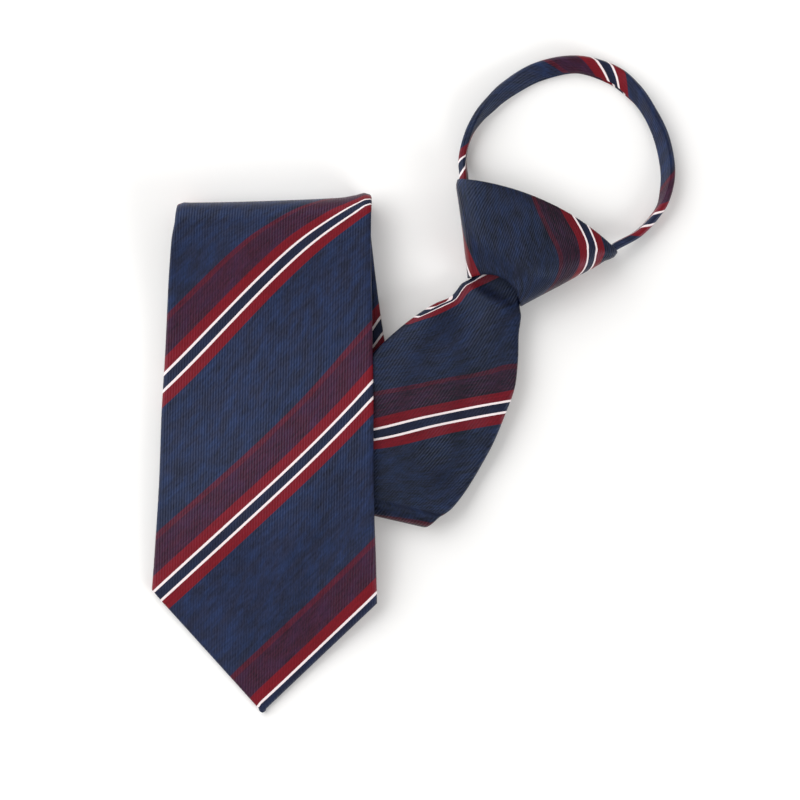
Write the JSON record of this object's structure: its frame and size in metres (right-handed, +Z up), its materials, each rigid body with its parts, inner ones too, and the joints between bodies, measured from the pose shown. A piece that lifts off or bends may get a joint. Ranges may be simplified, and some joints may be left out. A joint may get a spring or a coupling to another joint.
{
  "type": "zipper necktie",
  "caption": "Pre-tied striped necktie laid flat: a folded padded blade with a pointed end, a wrapped knot and a zip-adjusted neck loop.",
  "frame": {"origin": "under the middle of the tie's overall box, on the surface that it lies on", "axes": "+X across, +Y along the blade from its tip towards its top fold, +Z up out of the front of the tie"},
  "size_m": [0.186, 0.232, 0.0195],
  "materials": {
    "striped_cloth": "ribbed satin-like twill, navy with violet, red and white stripes",
    "moulded_core": "matt",
    "zip_tape": "woven tape",
    "zip_teeth": "satin nylon",
    "zip_metal": "dull plated"
  },
  "bodies": {
    "root": {"blade": "striped_cloth", "knot_wrap": "striped_cloth", "knot_core": "moulded_core", "neck_loop": "striped_cloth", "zip_tail": "zip_tape", "zip_chain": "zip_teeth", "zip_slider": "zip_metal"}
  },
  "joints": []
}
